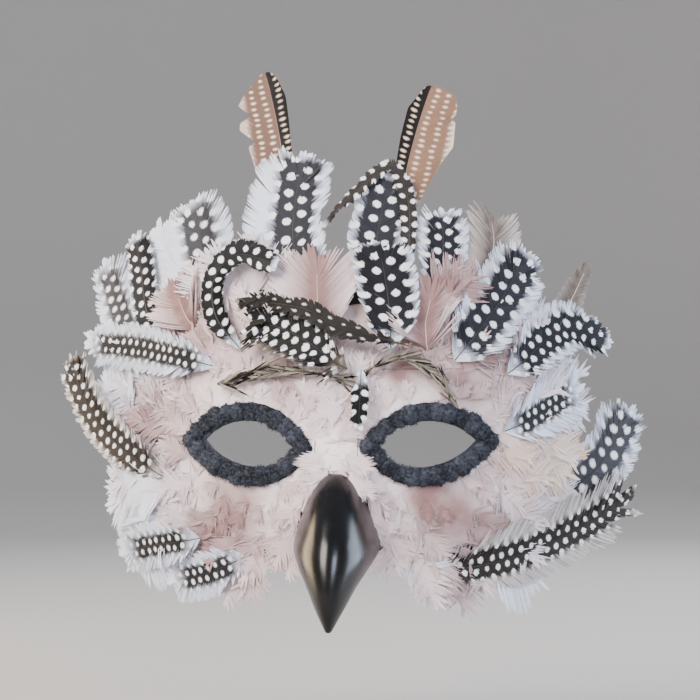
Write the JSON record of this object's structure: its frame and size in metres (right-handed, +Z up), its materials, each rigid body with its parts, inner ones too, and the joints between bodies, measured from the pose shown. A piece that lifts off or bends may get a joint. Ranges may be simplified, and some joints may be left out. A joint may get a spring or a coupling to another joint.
{
  "type": "feathered masquerade mask",
  "caption": "Bird half mask: curved shell with a felt lining, glossy hollow beak, scalloped braid round almond eye holes, and a fan of spotted plumes and tall tan quills.",
  "frame": {"origin": "on the back of the lining, between the eyes, where the mask rests on the bridge of the wearer's nose", "axes": "+Z up the wearer's face, +Y back into the wearer's face, +X to the right of someone facing the mask"},
  "size_m": [0.2348, 0.1012, 0.2208],
  "materials": {
    "shell": "moulded mask blank, matt black",
    "felt": "pressed felt, dark",
    "beak": "moulded, polished black",
    "braid": "chenille braid, dark slate blue, in scallops",
    "eyelet": "pressed brass",
    "body_feathers": "soft body feathers, creamy white with dusty rose patches",
    "white_down": "white down, cool in its shade",
    "rose_feathers": "soft feathers, dusty rose",
    "spotted_plumes": "spotted plumes, slate and charcoal with white round spots",
    "tan_quill": "wing feathers, tan with cream spots"
  },
  "bodies": {
    "root": {"mask_shell": "shell", "felt_lining": "felt", "strap_eyelet_left": "eyelet", "strap_eyelet_right": "eyelet", "eye_trim_left": "braid", "eye_trim_right": "braid", "beak": "beak", "bridge_cover": "body_feathers", "brow_cover_left": "body_feathers", "brow_cover_right": "body_feathers", "forehead_cover_left": "body_feathers", "forehead_cover_right": "body_feathers", "temple_cover_left": "body_feathers", "temple_cover_right": "body_feathers", "cheek_cover_left": "body_feathers", "cheek_cover_right": "body_feathers", "jowl_cover_left": "body_feathers", "jowl_cover_right": "body_feathers", "crest_quill_left": "tan_quill", "crest_quill_right": "tan_quill", "crown_plume_left": "spotted_plumes", "crown_plume_right": "spotted_plumes", "arching_plume": "spotted_plumes", "crown_plume_far_left": "spotted_plumes", "crown_plume_left_back": "spotted_plumes", "side_plume_left_dark": "spotted_plumes", "side_plume_left_pale": "spotted_plumes", "temple_down_left": "white_down", "crown_plume_right_inner": "spotted_plumes", "down_plume_right": "white_down", "side_spike_right": "tan_quill", "side_plume_right_low": "spotted_plumes", "jaw_down_right": "white_down", "jaw_tuft_right": "white_down", "side_plume_left_sweep": "spotted_plumes", "temple_plume_left": "spotted_plumes", "cheek_tuft_left": "white_down", "jaw_plume_left": "white_down", "jaw_plume_left_small": "spotted_plumes", "jaw_plume_left_inner": "spotted_plumes", "curled_plume": "spotted_plumes", "brow_plume_lower": "spotted_plumes", "brow_plume_upper": "spotted_plumes", "centre_plume_dark": "spotted_plumes", "brow_strand_left": "spotted_plumes", "brow_strand_right": "spotted_plumes", "bridge_plume": "spotted_plumes", "crown_plume_right_dark": "spotted_plumes", "side_plume_right_high": "spotted_plumes", "side_plume_right_mid": "spotted_plumes", "jaw_plume_right": "spotted_plumes", "rose_plume_centre": "rose_feathers", "rose_plume_left": "rose_feathers", "rose_plume_right": "rose_feathers"}
  },
  "joints": []
}
